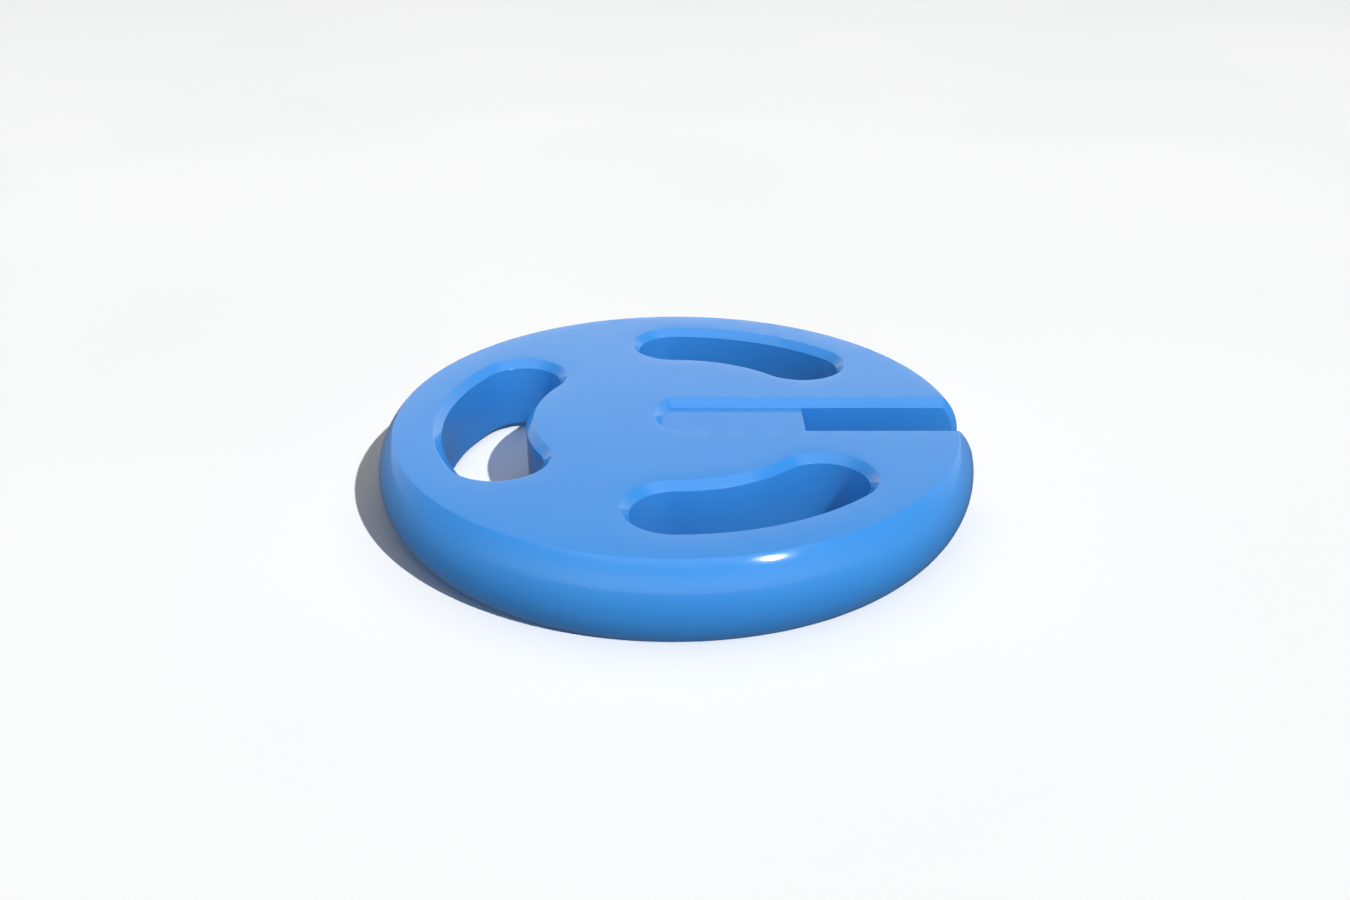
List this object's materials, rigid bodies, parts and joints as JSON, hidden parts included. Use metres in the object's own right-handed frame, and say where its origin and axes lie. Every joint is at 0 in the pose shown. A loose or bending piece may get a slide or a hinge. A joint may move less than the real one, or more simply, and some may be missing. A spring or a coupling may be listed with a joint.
{
  "type": "transit token",
  "caption": "Round plastic fare token with a bulged rim, curved sight windows and a radial slot, welded round a sealed contactless tag.",
  "frame": {"origin": "centre of the back face, the flat face that the token lies on, on the axis of the round rim", "axes": "+Z from the back face to the front face; +X along the slot towards its open end; +Y completes a right-handed frame"},
  "size_m": [0.0299, 0.03, 0.0041],
  "materials": {
    "shell": "blue ABS, moulded smooth and glossy",
    "adhesive": "milky acrylic transfer adhesive",
    "board": "glass-epoxy laminate, bare",
    "copper": "etched copper",
    "chip": "bare silicon, ground back",
    "resin": "black epoxy drop"
  },
  "bodies": {
    "root": {"front_shell": "shell", "back_shell": "shell", "adhesive_disc": "adhesive", "inlay_board": "board", "front_coil": "copper", "back_coil": "copper", "coil_vias": "copper", "chip": "chip", "chip_cover": "resin"}
  },
  "joints": []
}
